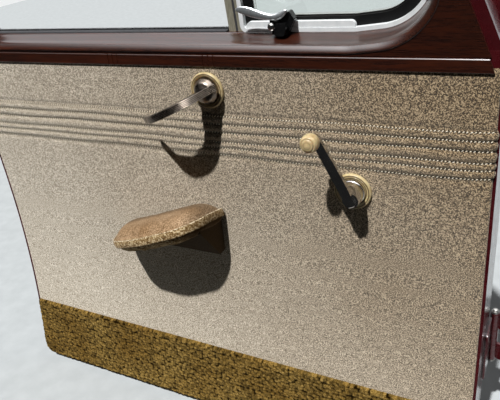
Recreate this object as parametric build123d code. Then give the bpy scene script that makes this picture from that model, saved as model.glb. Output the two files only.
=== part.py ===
from build123d import *
from math import acos, cos, hypot, radians, sin, sqrt, tan
import os

os.makedirs("parts", exist_ok=True)

# Left front door of a two-door sedan, drawn as it hangs. In mm: x=0 is the trim panel's front
# edge, +x forward. y=0 is the trim cloth and +y outboard, so a height h above the cloth is y=-h.
# z=0 is the top of the belt strip.
# ---- leaf
LENGTH, DROP = 880, 652  # trim panel, front to rear and belt strip to bottom
FRONT, REAR, BOTTOM, BELT = 4, -LENGTH - 8, -DROP, 8
LIP = 9  # skin and frame stand this far past the lock face
STEEL, SHEET, BOARD = 2, 1.5, 4  # inner shell, outer skin, trim board
SLOT_IN, SLOT_OUT = 38, 55  # glass slot at the belt
FOLD_Z, FOLD_R = -250, 1954  # the trim turns inboard below FOLD_Z
BULGE, BELT_IN, FULL_TOP, FULL_LOW, TUCK_R = 95, 9, -170, -260, 1500  # skin's section
CORNER, TOE = 30, 24  # rounded lower corners, rear and front
# ---- window plane, leaned inboard about a line at the sill
LEAN, LEAN_Y, SILL, RAKE = 5, 34, 21.5, 22.5
WINDOW_H, FRAME_H, FRAME_T = 343, 386, 60
GLASS_Y, GLASS_T, GLASS_TOP, GLASS_H = 48, 4, 5, 372  # the glass stands GLASS_TOP above the sill
DIVISION, BAR_W, BAR_GAP = -363.5, 21.5, (11, 14.5)
# ---- trim pieces
PLEATS = (-88, -100, -113, -128, -138, -150)
PLEAT_H, PILE, CARPET_Z, STRIP_T, STRIP_Z = 3.2, 8, -526, 2.6, -16
# ---- hinges
AXIS_X, AXIS_Y, OPEN = 11, 104, 65
BARREL_R, PIN_R, LEAF_T, LEAF_H, LEAF_IN = 7, 3.5, 4, 90, 44
HINGE_Z = (-70, -470)
SCREW_Y, PCD, SCREW_R = 68, 32, 3.2
# ---- fittings
ROSE_R, HUB_R = 26.5, 19
HANDLE, HANDLE_DROP, LEVER_W, RIBS = (-387, -50), 23, 10.4, 5
CRANK, KNOB, ARM_W, FOOT = (-176, -184), (-207.5, -90), 14, (7.5, 2.5)  # FOOT: from hub to arm's root
REST, REST_SLOPE, REST_TILT, REST_T, REST_RIM = (-390, -253), 20, 6.6, 22, 14
LATCH = (-277, 45)
GRIP, GRIP_W, LOCK_Z = (-800, -62), 16, -112


# ---- drawing helpers
def outline(points):
    """Closed face from (a, b, radius) corners, joined by lines and arcs."""
    n, cut, turns = len(points), [], []
    for i in range(n):
        a, b, c = points[i - 1], points[i], points[(i + 1) % n]
        l1, l2 = hypot(a[0] - b[0], a[1] - b[1]), hypot(c[0] - b[0], c[1] - b[1])
        u, v = ((a[0] - b[0]) / l1, (a[1] - b[1]) / l1), ((c[0] - b[0]) / l2, (c[1] - b[1]) / l2)
        half = acos(max(-1, min(1, u[0] * v[0] + u[1] * v[1]))) / 2
        turns.append((u, v, half))
        cut.append((b[2] if len(b) > 2 else 0) / tan(half))
    side = [hypot(points[i][0] - points[i - 1][0], points[i][1] - points[i - 1][1]) for i in range(n)]
    share = [min(1, 0.999 * side[i] / max(cut[i - 1] + cut[i], 1e-9)) for i in range(n)]
    edges, ends = [], []
    for i, (u, v, half) in enumerate(turns):
        b, t = points[i], cut[i] * min(share[i], share[(i + 1) % n])
        if t < 1e-6:
            ends.append(((b[0], b[1]), (b[0], b[1])))
            continue
        mid = (u[0] + v[0], u[1] + v[1])
        size, reach = hypot(*mid), t * (1 / cos(half) - tan(half))
        start, end = (b[0] + u[0] * t, b[1] + u[1] * t), (b[0] + v[0] * t, b[1] + v[1] * t)
        edges.append(ThreePointArc(start, (b[0] + mid[0] / size * reach, b[1] + mid[1] / size * reach), end))
        ends.append((start, end))
    edges += [Line(ends[i - 1][1], ends[i][0]) for i in range(n)]
    return make_face(Curve() + edges)


def grow(points, g):
    """The outline's sides moved out by g, and its corner radii with them."""
    n, out = len(points), []
    turn = sum(points[i - 1][0] * points[i][1] - points[i][0] * points[i - 1][1] for i in range(n))
    side = 1 if turn > 0 else -1
    for i in range(n):
        a, b, c = points[i - 1], points[i], points[(i + 1) % n]
        e1, e2 = (b[0] - a[0], b[1] - a[1]), (c[0] - b[0], c[1] - b[1])
        l1, l2 = hypot(*e1), hypot(*e2)
        n1, n2 = (side * e1[1] / l1, -side * e1[0] / l1), (side * e2[1] / l2, -side * e2[0] / l2)
        k = g / (1 + n1[0] * n2[0] + n1[1] * n2[1])
        r = b[2] if len(b) > 2 else 0
        bend = g if side * (e1[0] * e2[1] - e1[1] * e2[0]) > 0 else -g
        out.append((b[0] + k * (n1[0] + n2[0]), b[1] + k * (n1[1] + n2[1]), max(r + bend, 0) if r else 0))
    return out


def slab(points, y0, y1):
    """Outline in (x, z), from depth y0 out to y1."""
    return extrude(Plane.XZ.offset(-y1) * outline(points), y1 - y0)


def funnel(points, bands):
    """Ruled loft through the outline grown by g at depth y, for (g, y) in bands."""
    return loft([Plane.XZ.offset(-y) * outline(grow(points, g)) for g, y in bands], ruled=True)


def ring(points, outer, inner, y0, y1):
    return slab(grow(points, outer), y0, y1) - slab(grow(points, inner), y0 - 1, y1 + 1)


def along(points, x0, x1):
    """Section in (y, z), run from x0 to x1."""
    return extrude(Plane.YZ.offset(x0) * outline(points), x1 - x0)


def flat(points, z0, z1):
    """Outline in (x, y), from z0 up to z1."""
    return extrude(Plane.XY.offset(z0) * outline(points), z1 - z0)


def turned(profile, x, z, y=0, out=-1):
    """(r, h) profile turned about a line along y, h toward the cabin, or outboard for out=1."""
    place = Plane(origin=(x, y, z), x_dir=(0, 0, 1), z_dir=(0, out, 0)).location
    return place * revolve(Plane.XZ * outline(profile), Axis.Z)


def block(x0, x1, y0, y1, z0, z1):
    return Pos((x0 + x1) / 2, (y0 + y1) / 2, (z0 + z1) / 2) * Box(x1 - x0, y1 - y0, z1 - z0)


def rod(r, x, y, z0, z1):
    return Pos(x, y, (z0 + z1) / 2) * Cylinder(r, z1 - z0)


def moved(points, x, z):
    return [(x + a, z + b, *r) for a, b, *r in points]


def turn_about(x, y, angle, part):
    return Pos(x, y, 0) * Rot(0, 0, angle) * Pos(-x, -y, 0) * part


def lean(part):
    return Pos(0, LEAN_Y, SILL) * Rot(LEAN, 0, 0) * Pos(0, -LEAN_Y, -SILL) * part


def origin():
    """Row origin: centre of the upper pillar leaf's screw circle, on its pillar face."""
    dx, dy, t = AXIS_X - FRONT, SCREW_Y - AXIS_Y, radians(OPEN)
    return AXIS_X + dx * cos(t) - dy * sin(t), AXIS_Y + dx * sin(t) + dy * cos(t), HINGE_Z[0]


def keep(name, part):
    x, y, z = origin()
    export_step(Pos(-x, -y, -z) * part, f"parts/{name}.step")
    print(name, len(part.solids()), round(part.volume), flush=True)


# ---- leaf sections, as lines in (y, z) from the belt down
def trim_y(z):
    return -(FOLD_R - sqrt(FOLD_R**2 - (z - FOLD_Z) ** 2)) if z < FOLD_Z else 0


def skin_y(z):
    rise = BELT - FULL_TOP
    crown = (rise**2 + BELT_IN**2) / (2 * BELT_IN)
    if z > FULL_TOP:
        return BULGE - (crown - sqrt(crown**2 - (z - FULL_TOP) ** 2))
    return BULGE - (TUCK_R - sqrt(TUCK_R**2 - (z - FULL_LOW) ** 2)) if z < FULL_LOW else BULGE


def wall(y_of, dy, top, low, breaks):
    """The section line moved outboard by dy, an arc or a line between its breaks."""
    zs, edges = [top] + [b for b in breaks if low < b < top] + [low], []
    for a, b in zip(zs, zs[1:]):
        p = [(y_of(z) + dy, z) for z in (a, (a + b) / 2, b)]
        straight = abs(p[1][0] - (p[0][0] + p[2][0]) / 2) < 1e-6
        edges.append(Line(p[0], p[2]) if straight else ThreePointArc(*p))
    return edges


def trim_wall(dy, top, low=BOTTOM - 30):
    return wall(trim_y, dy, top, low, (FOLD_Z,))


def skin_wall(dy, top=BELT, low=BOTTOM - 30):
    return wall(skin_y, dy, top, low, (FULL_TOP, FULL_LOW))


def between(inner, outer, x0, x1):
    """Solid between two section lines, run from x0 to x1."""
    ends = [Line(inner[0] @ 0, outer[0] @ 0), Line(inner[-1] @ 1, outer[-1] @ 1)]
    return extrude(Plane.YZ.offset(x0) * make_face(Curve() + inner + outer + ends), x1 - x0)


def trimmed(part, points):
    return part & slab(points, -DROP / 4, 2 * BULGE)


def off_trim(part, gap=0.2):
    """The part without what lies behind the trim's cloth."""
    return part - between(trim_wall(-gap, -180), trim_wall(2 * BULGE, -180), -LENGTH, 0)


def off_skin(part):
    """The part without what lies inboard of the skin's outer face."""
    return part - between(skin_wall(-60, BELT + 20), skin_wall(0, BELT + 20), REAR - 2 * LIP, FRONT + LIP)


LEAF = [(FRONT, BELT + 60), (REAR, BELT + 60), (REAR, BOTTOM, CORNER), (FRONT, BOTTOM, TOE)]
SKIN = [(FRONT, BELT + 60), (REAR - LIP, BELT + 60), (REAR - LIP, BOTTOM - LIP, CORNER + LIP), (FRONT, BOTTOM - LIP, TOE)]
TRIM = [(0, BELT), (-LENGTH, BELT), (-LENGTH, BOTTOM, CORNER), (0, BOTTOM, 6)]


# ---- leaf
def inner_shell():
    """Pressed inner panel with its front, lock and bottom faces; the skin closes it."""
    body = trimmed(between(trim_wall(BOARD, BELT), skin_wall(-SHEET), REAR, FRONT), LEAF)
    room = between(trim_wall(BOARD + STEEL, BELT + 8), skin_wall(8, BELT + 8), REAR, FRONT)
    shell = body - trimmed(room, grow(LEAF, -STEEL))
    shell += block(REAR, FRONT, BOARD, SLOT_IN, BELT - SHEET, BELT)
    for part in (0.2, 0.5, 0.8):
        shell -= drain(part * REAR)
    return shell


def drain(x):
    return flat([(x - 14, 4, 2.8), (x + 14, 4, 2.8), (x + 14, 10, 2.8), (x - 14, 10, 2.8)], BOTTOM - 1, BOTTOM + STEEL + 1)


def outer_skin():
    sheet = trimmed(between(skin_wall(-SHEET), skin_wall(0), REAR - LIP, FRONT), SKIN)
    return sheet + block(REAR + STEEL, FRONT - STEEL, SLOT_OUT, skin_y(BELT) - SHEET / 2, BELT - SHEET, BELT)


def belt_moulding():
    y, z = skin_y(BELT), BELT
    return off_skin(along([(y - 3, z - 19), (y + 5, z - 19, 2), (y + 8, z - 13, 5), (y + 7, z - 4, 5), (y - 3, z - 0.5, 1)], REAR - LIP, FRONT))


def weatherstrip():
    """Rubber bead in the corner behind the skin's rear and bottom lip."""
    bead = trimmed(between(skin_wall(-SHEET - 9), skin_wall(-SHEET), REAR - LIP, FRONT), grow(LEAF, LIP - 2))
    return bead - slab(LEAF, -DROP / 4, 2 * BULGE) - block(FRONT - 40, FRONT + 20, -100, 200, -DROP - 40, BELT + 10)


# ---- window
def raked(x, z, top, *r):
    """The point at height top on the raked line through (x, z)."""
    return (x - (top - z) * tan(radians(RAKE)), top, *r)


TOP = SILL + WINDOW_H
WINDOW = [(-177, SILL, 60), (-107, SILL + 7.5, 75), (-78, SILL + 56, 44), raked(-78, SILL + 56, TOP, 30), (REAR + 30, TOP, 75), (REAR + 30, SILL, 28)]
FRAME = [raked(FRONT - 9, SILL, BELT - 18), raked(FRONT - 9, SILL, SILL + FRAME_H, 60), (REAR, SILL + FRAME_H, 105), (REAR, BELT - 18)]
GARNISH = [(-12.5, 4.5), raked(-12.5, 4.5, SILL + FRAME_H - 8, 62), (4 - LENGTH, SILL + FRAME_H - 8, 98), (4 - LENGTH, 4.5, 4)]
GARNISH_BANDS = ((-1, 35), (0, 34), (1.2, 27), (3.4, 20), (5.4, 15.6), (6, 14), (6.2, 11), (6.6, 6), (7.8, 2.5), (9.8, 0), (12.5, -1.2), (13.4, -3))
FIELD_Y = -1.2  # cabin face of the moulding's flat field
GROOVE = (GLASS_Y - 6, GLASS_Y + 6)  # groove for the glass run
GLASS = (REAR + 27, DIVISION + 3)


def glass_way(gap=0.4):
    """The way the glass takes down through the frame's sill and the belt."""
    return block(GLASS[0] - gap, GLASS[1] + gap, GLASS_Y - GLASS_T / 2 - gap, GLASS_Y + GLASS_T / 2 + gap, -DROP, SILL + GLASS_TOP + 3)


def window_frame():
    body = slab(FRAME, BOARD, 51) + funnel(FRAME, [(0, 50), (LIP, 52), (LIP, 58), (LIP - 1, 61.5), (LIP - 3.5, BOARD + FRAME_T)])
    body -= slab(grow(WINDOW, 18), 0, LEAN_Y + 0.2)
    body -= slab(WINDOW, LEAN_Y, GROOVE[0] + 1)
    body -= slab(grow(WINDOW, 8), *GROOVE)
    body -= funnel(WINDOW, [(1, GROOVE[1] - 0.1), (1, 57), (3, 61), (7, BOARD + FRAME_T), (9, BOARD + FRAME_T + 1.5)])
    return lean(body - glass_way()) & block(REAR - LIP, FRONT, -100, 200, BELT, 2 * FRAME_H)


def garnish_moulding():
    """Pressed steel moulding: a flat field, a round outer band, a step and an inner band to the lip."""
    back = funnel(WINDOW, [(g + 2, y) for g, y in GARNISH_BANDS[1:-1]])
    field = slab(GARNISH, FIELD_Y, FIELD_Y + 2) + ring(GARNISH, 0, -2, FIELD_Y, BOARD - 0.2)
    return lean(back + field - funnel(WINDOW, GARNISH_BANDS)) - block(REAR - 9, FRONT + 9, BOARD - 0.2, 90, -60, BELT + 0.2)


def glass_run():
    """Felt-lined rubber channel round the main opening."""
    pane = (GLASS_Y - GLASS_T / 2 - 0.4, GLASS_Y + GLASS_T / 2 + 0.4)
    lining = ring(WINDOW, 7.6, 0.5, GROOVE[0] + 0.4, GROOVE[1] - 0.4) - ring(WINDOW, 5.6, 0, *pane)
    return lean((lining & block(REAR, DIVISION - 0.4, 0, 100, SILL + 10, 600)) - glass_way())


def main_glass():
    low, high = SILL + GLASS_TOP - GLASS_H, SILL + GLASS_TOP
    return lean(slab([(GLASS[0], low, 8), (GLASS[1], low, 8), (GLASS[1], high), (GLASS[0], high)], GLASS_Y - GLASS_T / 2, GLASS_Y + GLASS_T / 2))


def belt_felt():
    """Felt on the cabin side of the slot, laid over the frame's sill."""
    y = GLASS_Y - GLASS_T / 2 - 0.7
    felt = along([(36, SILL + 0.2), (36, SILL + 2.8, 0.8), (y, SILL + 3.6, 1), (y, SILL - 7), (y - 2.4, SILL - 7), (y - 2.4, SILL + 0.2)], GLASS[0] + 3, DIVISION - 2)
    return lean(felt) - window_frame() - glass_run()


def belt_wiper():
    y = GLASS_Y + GLASS_T / 2 + 0.7
    strip = along([(y, SILL - 7), (y, SILL + 5, 0.8), (y + 2.8, SILL + 3, 0.8), (y + 2.8, SILL - 7)], GLASS[0] + 3, DIVISION - 2)
    return lean(strip) - window_frame() - glass_run()


def division_bar():
    """Bright channel between window and vent, slotted for the glass and for a strip of felt."""
    x0, x1 = DIVISION, DIVISION + BAR_W
    bar = block(x0, x1, GLASS_Y - 7, SLOT_OUT - 0.6, SILL - 7, TOP + 8)
    bar -= block(x0 - 1, x0 + 6, GLASS_Y - GLASS_T / 2 - 0.5, GLASS_Y + GLASS_T / 2 + 0.5, -DROP, DROP)
    bar -= block(x0 + BAR_GAP[0], x0 + BAR_GAP[1], GLASS_Y - 8, GLASS_Y - 4, -DROP, DROP)
    return lean(bar & (slab(grow(WINDOW, 7), GROOVE[0] + 0.3, GROOVE[1] - 0.3) + slab(grow(WINDOW, -0.3), 0, 100)))


def division_felt():
    x0 = DIVISION
    return lean(block(x0 + BAR_GAP[0] + 0.2, x0 + BAR_GAP[1] - 0.2, GLASS_Y - 6.6, GLASS_Y - 4, SILL + 1, TOP - 1))


# ---- vent wing
VENT = WINDOW[:4] + [(DIVISION + BAR_W, TOP, 10), (DIVISION + BAR_W, SILL, 10)]
RUBBER, SASH = -19, -21.4  # inner edges of rubber and sash


def vent_flange():
    return lean(ring(VENT, -0.4, -6.5, LEAN_Y + 1, GROOVE[0] - 0.2))


def vent_ledge():
    """Raised plate on the vent's sill, its ends rounded."""
    x0, x1 = DIVISION + BAR_W + 8, -178
    return lean(slab([(x0, SILL + 6.8), (x1, SILL + 6.8), (x1, SILL + 15, 6), (x0 + 4, SILL + 15, 8)], LEAN_Y + 2, GROOVE[0] - 0.2))


def vent_rubber():
    return lean(ring(VENT, -0.6, RUBBER, GROOVE[0], GROOVE[1] + 2))


def vent_sash():
    return lean(ring(VENT, RUBBER - 0.1, SASH, GLASS_Y - 4, GLASS_Y + 5))


def vent_glass():
    return lean(slab(grow(VENT, SASH - 0.1), GLASS_Y - GLASS_T / 2, GLASS_Y + GLASS_T / 2))


def vent_latch_bracket():
    """Black keeper that stands from the sill, with a boss toward the cabin."""
    plate = [(-12, -22.5, 2), (10, -22.5, 3), (15, -14, 4), (22, -3, 3), (16, 8, 3), (9, 6, 3), (-6, 2, 3), (-14, -4, 4)]
    boss = [(-5, -22, 3), (8, -22, 3), (13, -12, 4), (11, -6), (-2, -6), (-4, -12, 3)]
    return lean(slab(moved(plate, *LATCH), LEAN_Y - 9, LEAN_Y + 0.8) + slab(moved(boss, *LATCH), LEAN_Y - 18, LEAN_Y - 8))


def vent_latch_lever():
    """Bright wing lever: a long paddle to the rear, a short one forward."""
    side = [(15, 12, 2), (12, 4, 4), (3, -2, 6), (-10, -3, 10), (-44, 5, 20), (-55, 11, 2.5), (-54, 16, 2.5), (-42, 17, 12), (-14, 5, 14), (1, 7, 8)]
    plan = [(-60, 17), (-60, 19.5), (-12, 24.8), (18, 24.8), (18, 20), (-8, 17)]
    return lean(slab(moved(side, *LATCH), 10, 30) & flat([(LATCH[0] + a, b) for a, b in plan], 0, 200))


def vent_latch_stud():
    x, z = LATCH[0] - 9, LATCH[1] - 10
    return lean(turned([(0, 0), (3, 0), (3, 2, 1), (5.4, 3.5, 3), (5.4, 9, 4), (0, 11)], x, z, LEAN_Y - 9))


# ---- trim
def trim_panel():
    return trimmed(between(trim_wall(0, STRIP_Z + 6), trim_wall(BOARD, STRIP_Z + 6), -LENGTH, 0), TRIM)


def pleat_band():
    """Five padded rolls between six seams, the full length of the trim."""
    x0, x1 = 1 - LENGTH, -1
    band = block(x0, x1, -0.6, 0, PLEATS[-1] - 3, PLEATS[0] + 3)
    for a, b in zip(PLEATS, PLEATS[1:]):
        roll = make_face(Curve() + [Line((0, a), (0, b)), ThreePointArc((0, a), (-PLEAT_H, (a + b) / 2), (0, b))])
        band += extrude(Plane.YZ.offset(x0) * roll, x1 - x0)
    return band


def carpet_strip():
    return trimmed(between(trim_wall(-PILE, CARPET_Z), trim_wall(0, CARPET_Z), -LENGTH, 0), TRIM)


def belt_strip():
    """Wood-grained strip on the trim's top edge, with two groups of three fine grooves."""
    t, low = -STRIP_T, STRIP_Z
    strip = along([(BOARD, 0.5), (t, 0.5, 2), (t, low, 1), (0, low), (0, low + 6.2), (BOARD, low + 6.2)], -LENGTH, -6)
    strip &= slab([(-LENGTH - 1, 2), (-14.5, 2), (-6.5, low - 1), (-LENGTH - 1, low - 1)], -20, 20)
    for middle in (-547, -378):
        for x in (middle - 8.5, middle, middle + 8.5):
            strip -= block(x - 1.1, x + 1.1, t - 1, t + 1, low - 1, 2)
    return strip


# ---- inside handles
def rose(x, z):
    """Ivory escutcheon: a rolled rim with a turned groove, then a dish down to the hub."""
    return turned([(9, 0.2), (ROSE_R, 0.2, 0.8), (ROSE_R, 3, 1.2), (25, 5.6, 1.2), (23.8, 4.6, 0.5), (22.6, 5.4, 1), (HUB_R + 1, 3, 0.5), (9, 3)], x, z)


def ferrule(x, z):
    """Bright dome that the lever's shank stands on."""
    return turned([(0, 0.5), (8, 0.5), (8, 3), (HUB_R, 3, 0.4), (HUB_R, 7.5, 4), (14.5, 14, 8), (7, 17.5, 8), (0, 18)], x, z)


def side_plane(x, z, ux, uz, width):
    """Plane through a handle's side: local x along (ux, uz), local y toward the cabin."""
    return Plane(origin=(x - uz * width / 2, 0, z + ux * width / 2), x_dir=(ux, 0, uz), z_dir=(uz, 0, -ux))


LEVER = [(-17, 9), (-25.5, 13.5, 1.5), (4.6, 68.3, 50), (65.5, 68.3, 60), (111.5, 29, 1.5), (107, 27, 1.5),
         (84, 43.6, 45), (50, 51.5, 60), (18, 46.5, 13), (16.8, 13.5, 1), (12, 9)]


def release_lever():
    """Hook that sweeps up off the dome and back to a thin tip: ribs of the full outline on a
    core a little smaller."""
    x, z = HANDLE
    face = side_plane(x, z, -cos(radians(HANDLE_DROP)), -sin(radians(HANDLE_DROP)), LEVER_W)
    bar, pitch = extrude(face * outline(grow(LEVER, -0.6)), LEVER_W), LEVER_W / (RIBS - 0.4)
    for i in range(RIBS):
        bar += extrude(face.offset(i * pitch) * outline(LEVER), 0.6 * pitch)
    return bar - ferrule(x, z)


def disc(r, x, z, h):
    return Plane(origin=(x, -h, z), x_dir=(1, 0, 0), z_dir=(0, -1, 0)) * Circle(r)


def crank_arm():
    """Bright hub whose neck leans up into the arm, which lies nearly level and narrows toward
    the knob."""
    x, z = CRANK
    fx, fz = x + FOOT[0], z + FOOT[1]
    length, half = hypot(KNOB[0] - fx, KNOB[1] - fz), ARM_W / 2
    ux, uz, end = (KNOB[0] - fx) / length, (KNOB[1] - fz) / length, length + 5
    side = [(-9, 29, 4), (-9, 39, 3), (24, 41, 70), (60, 45, 90), (end, 51, 2.5), (end, 45.5, 2.5), (60, 39.5, 60), (24, 35, 30), (10, 29, 4)]
    plan = [(-9, half - 0.8, 5.5), (-9, 0.8 - half, 5.5), (20, -half, 40), (55, -half + 0.1, 60), (end, 1.4 - half, 4), (end, half - 1.4, 4), (55, half - 0.1, 60), (20, half, 40)]
    top = Plane(origin=(fx, -80, fz), x_dir=(ux, 0, uz), z_dir=(0, -1, 0))
    arm = extrude(side_plane(fx, fz, ux, uz, ARM_W) * outline(side), ARM_W) & extrude(top * outline(plan), -80)
    hub = turned([(0, 0.5), (8, 0.5), (8, 3.2), (HUB_R - 0.5, 3.2, 0.4), (HUB_R - 0.5, 8, 3), (10, 11, 3), (0, 11)], x, z)
    neck = loft([disc(HUB_R - 2, x, z, 7), disc(HUB_R - 4, x + FOOT[0] / 2, z + FOOT[1] / 2, 21), disc(11, fx, fz, 35)])
    return hub + neck + arm


def crank_knob():
    x, z = KNOB
    shape = [(0, 48), (4.5, 48), (4.5, 52), (5.6, 55, 1.5), (10.4, 56.5, 3), (11.9, 61, 4), (11.9, 69, 3), (9.8, 73, 2), (8.2, 72.4, 0.5), (7.2, 74, 1), (0, 75.4)]
    return turned(shape, x, z) - crank_arm()


# ---- armrest, drawn on a plane that falls away to the rear and rises toward the cabin
def rest_plane():
    t, u = radians(REST_SLOPE), radians(REST_TILT)
    return Plane(origin=(REST[0], 0, REST[1]), x_dir=(-cos(t), 0, -sin(t)), z_dir=(-sin(t) * cos(u), sin(u), cos(t) * cos(u)))


def armrest_pad():
    """Pad with an upright rim and a crowned top."""
    rest, soft = rest_plane(), REST_T - REST_RIM
    plan = [(-2, -40), (-2, 66, 42), (28, 94, 46), (104, 100, 130), (181, 82, 60), (212, 36, 34), (212, -40)]
    pad = extrude(rest * outline(plan), REST_RIM)
    rims = pad.faces().sort_by(Axis((0, 0, 0), tuple(rest.z_dir)))[0].edges()
    pad = fillet([e for e in rims if e.center().Y < -6], 4)
    for low, high in (((0, 0), (9, 0.5)), ((9, 0.5), (19, 0.84)), ((19, 0.84), (30, 1))):
        pad += loft([rest.offset(REST_RIM + soft * b) * outline(grow(plan, -a)) for a, b in (low, high)], ruled=True)
    return off_trim(pad)


def armrest_base():
    """Cloth-covered bracket under the pad's front, its underside running back to the trim."""
    x, z = REST
    side = [(x - 8, z + 20), (x - 8, z - 70, 4), (x - 120, z - 70, 60), (x - 190, z - 90), (x - 190, z + 20)]
    depth = [(3, z + 30), (-62, z + 30), (-62, z - 4, 4), (-14, z - 72, 6), (3, z - 96)]
    over = extrude(rest_plane() * outline([(-60, -60), (300, -60), (300, 120), (-60, 120)]), 90)
    return off_trim((slab(side, -80, 10) & along(depth, x - 200, x)) - over)


# ---- hinges: leaf hinges with the axis outside the skin
def knuckle(z0, z1, zc):
    return rod(BARREL_R, AXIS_X, AXIS_Y, zc + z0, zc + z1)


def plate(x0, zc):
    out, h = AXIS_Y - BARREL_R - 5, LEAF_H / 2
    return along([(LEAF_IN, zc - h, 8), (out, zc - h, 2), (out, zc + h, 2), (LEAF_IN, zc + h, 8)], x0, x0 + LEAF_T)


def arm(x0, z0, z1, zc):
    """The leaf's reach from its plate to its knuckle."""
    return block(x0, x0 + LEAF_T, AXIS_Y - BARREL_R - 8, AXIS_Y, zc + z0, zc + z1) + knuckle(z0, z1, zc)


def screw_places(zc, x, toward):
    """Three places on the screw circle, z out of the leaf."""
    for a in (90, 210, 330):
        y, z = SCREW_Y + PCD / 2 * cos(radians(a)), zc + PCD / 2 * sin(radians(a))
        yield Plane(origin=(x, y, z), x_dir=(0, 1, 0), z_dir=(toward, 0, 0)).location


def drilled(leaf, zc, x, toward):
    for place in screw_places(zc, x, toward):
        leaf -= place * Pos(0, 0, 2) * Cylinder(SCREW_R, 3 * LEAF_T) + place * Pos(0, 0, LEAF_T - 1.2) * Cone(SCREW_R, 2 * SCREW_R, 2.8)
    return leaf


def door_leaf(zc):
    leaf = plate(FRONT, zc) + arm(FRONT, 1 - LEAF_H / 6, LEAF_H / 6 - 1, zc)
    return drilled(leaf - rod(PIN_R + 0.05, AXIS_X, AXIS_Y, zc - LEAF_H, zc + LEAF_H), zc, FRONT, 1)


def pillar_leaf(zc):
    x1 = 2 * AXIS_X - FRONT
    leaf = plate(x1 - LEAF_T, zc)
    for a, b in ((-LEAF_H / 2, -LEAF_H / 6), (LEAF_H / 6, LEAF_H / 2)):
        leaf += arm(x1 - LEAF_T, a, b, zc)
    return turn_about(AXIS_X, AXIS_Y, OPEN, drilled(leaf - rod(PIN_R, AXIS_X, AXIS_Y, zc - LEAF_H, zc + LEAF_H), zc, x1, -1))


def hinge_screws():
    """Slotted countersunk screws that hold the door leaves."""
    screw = Pos(0, 0, LEAF_T - 1.4) * Cone(SCREW_R - 0.3, 2 * SCREW_R - 0.7, 2.6) + Pos(0, 0, 0.7) * Cylinder(SCREW_R - 0.3, 1.4)
    screw -= Pos(0, 0, LEAF_T) * Box(1.3, 14, 1.6)
    return Part() + [place * screw for zc in HINGE_Z for place in screw_places(zc, FRONT, 1)]


def hinge_pins():
    tip = revolve(Plane.XZ * outline([(0, 0), (6, 0, 1.5), (6, 3.5, 1.5), (3.6, 7, 1), (0, 8)]), Axis.Z)
    pins = Part()
    for zc in HINGE_Z:
        pins += rod(PIN_R, AXIS_X, AXIS_Y, zc - LEAF_H / 2, zc + LEAF_H / 2)
        pins += Pos(AXIS_X, AXIS_Y, zc + LEAF_H / 2) * tip + Pos(AXIS_X, AXIS_Y, zc - LEAF_H / 2) * Rot(180, 0, 0) * tip
    return pins


# ---- lock face
def lock_plate():
    return along([(26, -122, 6), (74, -122, 6), (74, -32, 6), (26, -32, 6)], REAR - 2.5, REAR)


def lock_bolt():
    """Spring bolt, bevelled on the side that meets the striker first."""
    return flat([(REAR - 2.5, 40), (REAR - 6, 40, 1), (REAR - 16, 51, 2), (REAR - 16, 58, 1), (REAR - 2.5, 58)], -90, -66)


def dovetail():
    base = along([(30, -322, 4), (66, -322, 4), (66, -270, 4), (30, -270, 4)], REAR - 2.5, REAR)
    return base + flat([(REAR - 2, 36), (REAR - 15, 42, 2), (REAR - 15, 54, 2), (REAR - 2, 60)], -309, -283)


def bumpers():
    pads = [along([(y, z - 17, 5), (y + 26, z - 17, 5), (y + 26, z + 17, 5), (y, z + 17, 5)], REAR - 8, REAR) for y, z in ((32, -190), (12, -540))]
    return Part() + pads


# ---- outside
def outer_handle_rose():
    x, z = GRIP
    return off_skin(turned([(0, -12), (20, -12), (20, 1.6, 1), (18.6, 4.6, 1.5), (13, 7), (0, 7)], x, z, skin_y(z), 1))


def outer_handle():
    """Lever handle: a shank, then a curved grip that thins toward its end."""
    x, z = GRIP
    y, half = skin_y(z) + 7, GRIP_W / 2
    side = [(x - 10, y), (x - 10, y + 20, 8), (x - 2, y + 33, 12), (x + 34, y + 40, 40), (x + 92, y + 37, 40), (x + 122, y + 25, 3),
            (x + 119, y + 20, 2), (x + 90, y + 28, 30), (x + 36, y + 30, 30), (x + 14, y + 24, 12), (x + 10, y)]
    face = [(-14, -half + 1, 5), (20, -half, 20), (118, -half + 3, 4), (126, 2, 3), (100, half - 2, 20), (20, half, 20), (-14, half - 1, 5)]
    return flat(side, z - half - 4, z + half + 4) & slab(moved(face, x, z), 0, 300)


def lock_cylinder():
    x, y = GRIP[0], skin_y(LOCK_Z)
    face = turned([(0, -12), (10.5, -12), (10.5, 1.5, 0.8), (8.5, 3.4, 0.8), (0, 3.4)], x, LOCK_Z, y, 1)
    return off_skin(face - block(x - 0.7, x + 0.7, y + 1.6, y + 20, LOCK_Z - 4, LOCK_Z + 4))


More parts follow.
